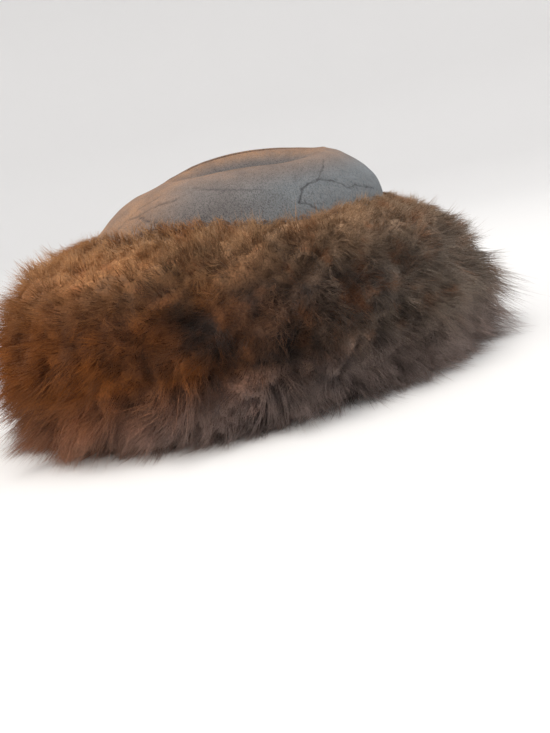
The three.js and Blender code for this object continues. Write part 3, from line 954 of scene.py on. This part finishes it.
def suede_finish(mottle):
    finish = Finish("crown_suede", rough=0.95, sheen=0.04, sheen_rough=0.6)
    place, patches, grain = finish.hide(mottle, SUEDE_PATCH_SCALE, SUEDE_GRAIN_SCALE)
    stretched = finish.add("ShaderNodeMapping", {"Vector": place, "Scale": SPECKLE_STRETCH}).outputs[0]
    speck = finish.add("ShaderNodeTexNoise", {"Vector": stretched, "Scale": 1.0, "Detail": 2.0}).outputs[0]
    speckle = finish.remap(speck, *SPECKLE_RANGE)

    grey = finish.mix(patches, *SUEDE_GREY)
    blue = finish.mix(patches, *SUEDE_BLUE)
    tan = finish.mix(patches, *SUEDE_TAN_AND_HIGHLIGHT)
    skin = finish.mix(finish.value("cool"), grey, blue)
    # Tan at the back, and painted highlight along the ridge and towards the dish's rim
    tan_and_highlight = finish.math("MULTIPLY", finish.value("tan_and_highlight"), finish.remap(patches, 0.0, 1.0, *TAN_PATCHES))
    skin = finish.mix(tan_and_highlight, skin, tan)
    # Painted shade over the crown's sides and the dish's middle; the same mask makes the speckle heavier
    nap_and_shade_mask = finish.value("nap_and_shade")
    skin = finish.mix(finish.math("MULTIPLY", nap_and_shade_mask, SHADOW_SHARE), skin, SUEDE_SHADOW)
    strength = finish.math("ADD", finish.math("MULTIPLY", nap_and_shade_mask, SPECKLE_ON_NAP), SPECKLE_SHARE)
    skin = finish.mix(finish.math("MULTIPLY", speckle, strength), skin, SUEDE_SPECKLE)
    skin = finish.mix(finish.math("MULTIPLY", grain, DUST_SHARE), skin, SUEDE_DUST)
    # Dark vein marks along the lines, with painted shade in the creases and folds
    skin = finish.mix(finish.math("MULTIPLY", finish.value("line"), LINE_SHARE), skin, SUEDE_VEIN_AND_CREASE_SHADE)
    finish.put(finish.shader.inputs["Base Color"], skin)
    relief = finish.math("ADD", finish.math("MULTIPLY", speckle, SPECKLE_RELIEF),
                         finish.math("MULTIPLY", grain, GRAIN_RELIEF))
    nap_bump = finish.add("ShaderNodeBump", {
        "Height": relief, "Strength": NAP_STRENGTH, "Distance": NAP_HEIGHT})
    finish.put(finish.shader.inputs["Normal"], nap_bump.outputs[0])
    return finish.material


def wool_finish(mottle):
    finish = Finish("cuff_wool", rough=0.8, sheen=0.05, sheen_rough=0.4)
    place, patches, grain = finish.hide(mottle, WOOL_PATCH_SCALE, WOOL_GRAIN_SCALE)
    axes = finish.add("ShaderNodeSeparateXYZ", {0: place}).outputs
    along, parting = finish.value("along"), finish.value("parting")

    high = finish.remap(axes[2], *CREST_HEIGHTS)
    low = finish.remap(axes[2], *HEM_HEIGHTS)
    tones = finish.math("ADD", finish.value("tone"), finish.value("lock_tone"))
    soft_tone = finish.math("MULTIPLY", tones, 0.5)
    blotch = finish.remap(patches, *BLOTCH_RANGE)

    # From the front to the back: taupe, ash, dark rust and bright rust; the ash and dark rust along the
    # sides' middle are darkened as painted shade
    wool = finish.mix(soft_tone, *WOOL_TAUPE)
    shaded_ash = finish.mix(blotch, *WOOL_ASH_SHADED)
    wool = finish.mix(finish.remap(axes[1], *SHADED_ASH_STRETCH), wool, shaded_ash)
    shaded_rust = finish.mix(blotch, *WOOL_RUST_SHADED)
    wool = finish.mix(finish.remap(axes[1], *SHADED_RUST_STRETCH), wool, shaded_rust)
    rust = finish.mix(soft_tone, *WOOL_RUST)
    wool = finish.mix(finish.remap(axes[1], *RUST_STRETCH), wool, rust)

    # Tan along the top edge, lightened there as painted top light, and grey brown along the hem
    back = finish.remap(axes[1], *CREST_STRETCH)
    crest_top_lit = finish.mix(back, *WOOL_CREST_TOP_LIT)
    crest_top_lit = finish.mix(finish.math("MULTIPLY", soft_tone, CREST_TIP_SHARE), crest_top_lit, WOOL_CREST_TIP_TOP_LIT)
    wool = finish.mix(finish.math("MULTIPLY", high, CREST_SHARE), wool, crest_top_lit)
    hem = finish.mix(soft_tone, *WOOL_HEM)
    grey_hem = finish.math("MULTIPLY", low, finish.remap(axes[1], *HEM_STRETCH, *HEM_SHARES))
    wool = finish.mix(grey_hem, wool, hem)

    # Rust-coloured flecks that stand in for glints as painted highlight, dark patches, painted shade in the
    # partings, pale tips and a fine fuzz
    spots = finish.add("ShaderNodeTexNoise", {"Vector": place, "Scale": FLECK_SCALE, "Detail": 3.0})
    fleck = spots.outputs[0]
    upper = finish.remap(axes[2], *FLECK_HEIGHTS, 0.0, FLECK_SHARE)
    fleck_glints = finish.math("MULTIPLY", finish.remap(fleck, *FLECK_RANGE), upper)
    wool = finish.mix(fleck_glints, wool, WOOL_FLECK_GLINT)
    shade = finish.math("MULTIPLY", finish.math("SUBTRACT", 1.0, blotch), BLOTCH_SHARE)
    wool = finish.mix(shade, wool, WOOL_SHADE)
    # Painted shade in the partings between locks, deepest towards the roots
    deep = finish.math("MULTIPLY", parting, finish.remap(along, *PARTING_ALONG, *PARTING_SHARES))
    wool = finish.mix(deep, wool, WOOL_PARTING_SHADE)
    tips = finish.math("MULTIPLY", finish.remap(along, *TIP_ALONG), TIP_LIGHT)
    wool = finish.mix(tips, wool, WOOL_TIP, "SOFT_LIGHT")
    fuzz = finish.remap(grain, 0.0, 1.0, *FUZZ_RANGE)
    shades = finish.add("ShaderNodeCombineXYZ", {"X": fuzz, "Y": fuzz, "Z": fuzz}).outputs[0]
    wool = finish.mix(FUZZ_SHARE, wool, shades, "OVERLAY")
    finish.put(finish.shader.inputs["Base Color"], wool)
    return finish.material


FLOOR_COLOUR = colour(0.88, 0.87, 0.855)


def floor_finish():
    finish = Finish("pale_floor", rough=0.9)
    finish.shader.inputs["Base Color"].default_value = FLOOR_COLOUR
    return finish.material


# Making the hat

mottle = mottle_group()
suede = suede_finish(mottle)
wool = wool_finish(mottle)

for piece, node in ((crown_side_piece(), "crown_side"), (crown_top_piece(), "crown_top")):
    piece.data.materials.append(suede)
    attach(piece, "root")
    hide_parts(node)

under = wool_under_piece()
under.data.materials.append(wool)
strand_tree = wool_tree()
wool_pieces = [under]
for number, (name, (first, last)) in enumerate(WOOL_SECTORS.items()):
    wool_pieces.append(wool_piece(name, first, last, strand_tree, wool, number))
for piece in wool_pieces:
    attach(piece, "root")
    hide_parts("fur_cuff")


# Floor, light and camera

# The bowl's outline: distance from the middle and height, in metres
FLOOR_OUTLINE = np.array([
    (0.05, 0), (0.6, 0), (1.2, 0), (1.8, 0.05), (2.4, 0.35), (2.8, 0.9), (3.0, 1.8), (3.0, 3.2)])
FLOOR_STEP = 7.5


def floor_piece():
    """A wide pale bowl that curves up all round, so no edge shows behind the hat."""
    turn = np.radians(np.arange(0, 360, FLOOR_STEP))[None, :]
    radius, height = FLOOR_OUTLINE[:, :1], FLOOR_OUTLINE[:, 1:]
    rows = np.stack(np.broadcast_arrays(radius * np.sin(turn), -radius * np.cos(turn), height + 0 * turn), -1)
    points = np.concatenate([rows.reshape(-1, 3), [[0, 0, 0]]])
    columns = turn.size
    faces = quads(len(rows), columns, False, True)[:, ::-1].tolist()
    faces += [(len(points) - 1, s, (s + 1) % columns) for s in range(columns)]
    return mesh_piece("floor", points, faces, {})


floor = floor_piece()
floor.data.materials.append(floor_finish())


def area_light(name, place, target, size, power, tint):
    lamp = bpy.data.lights.new(name, "AREA")
    lamp.shape = "DISK"
    lamp.size = size
    lamp.energy = power
    lamp.color = tint
    light = bpy.data.objects.new(name, lamp)
    light.location = place
    light.rotation_euler = (Vector(target) - Vector(place)).to_track_quat("-Z", "Y").to_euler()
    bpy.context.collection.objects.link(light)


# Lights: place and target in metres, size in metres, power in watts, tint
area_light("top_light", (-0.15, 0.2, 1.5), (0, 0, 0.08), 1.0, 11, (1.0, 0.96, 0.91))
area_light("front_light", (-0.9, -1.3, 1.0), (0, 0, 0.07), 0.9, 6, (0.93, 0.97, 1.0))
area_light("back_light", (-0.4, 1.5, 0.9), (0, 0, 0.08), 0.9, 7, (1.0, 0.94, 0.86))

ROOM_COLOUR = colour(0.95, 0.96, 1.0)
ROOM_STRENGTH = 0.85

world = bpy.data.worlds.new("pale_room")
world.use_nodes = True
room = world.node_tree.nodes["Background"].inputs
room["Color"].default_value = ROOM_COLOUR
room["Strength"].default_value = ROOM_STRENGTH
bpy.context.scene.world = world
bpy.context.scene.view_settings.view_transform = "Standard"

# The photograph is 550 by 733 pixels, and the hat's middle falls on AIM_PIXEL
IMAGE_WIDTH, IMAGE_HEIGHT = 550, 733
FOCAL_PIXELS = 810
AIM_PIXEL = (244, 285)
SENSOR = 36
AIM_POINT = Vector((0, 0, 0.064))
AZIMUTH, ELEVATION, ROLL, DISTANCE = math.radians(250), math.radians(7), math.radians(13), 0.57

level = math.cos(ELEVATION)
to_camera = Vector((level * math.sin(AZIMUTH), -level * math.cos(AZIMUTH), math.sin(ELEVATION)))
lens = bpy.data.cameras.new("camera")
lens.sensor_width = SENSOR
lens.lens = SENSOR * FOCAL_PIXELS / IMAGE_HEIGHT
lens.clip_start = 0.01
camera = bpy.data.objects.new("camera", lens)
aim_right = (AIM_PIXEL[0] - IMAGE_WIDTH / 2) / FOCAL_PIXELS
aim_up = (IMAGE_HEIGHT / 2 - AIM_PIXEL[1]) / FOCAL_PIXELS
aim = Vector((aim_right, aim_up, -1)).normalized()
look = (-to_camera).to_track_quat("-Z", "Y").to_matrix()
offset = aim.rotation_difference(Vector((0, 0, -1))).to_matrix()
turned = look @ Matrix.Rotation(-ROLL, 3, "Z") @ offset
camera.matrix_world = Matrix.Translation(AIM_POINT + to_camera * DISTANCE) @ turned.to_4x4()
bpy.context.collection.objects.link(camera)
bpy.context.scene.camera = camera
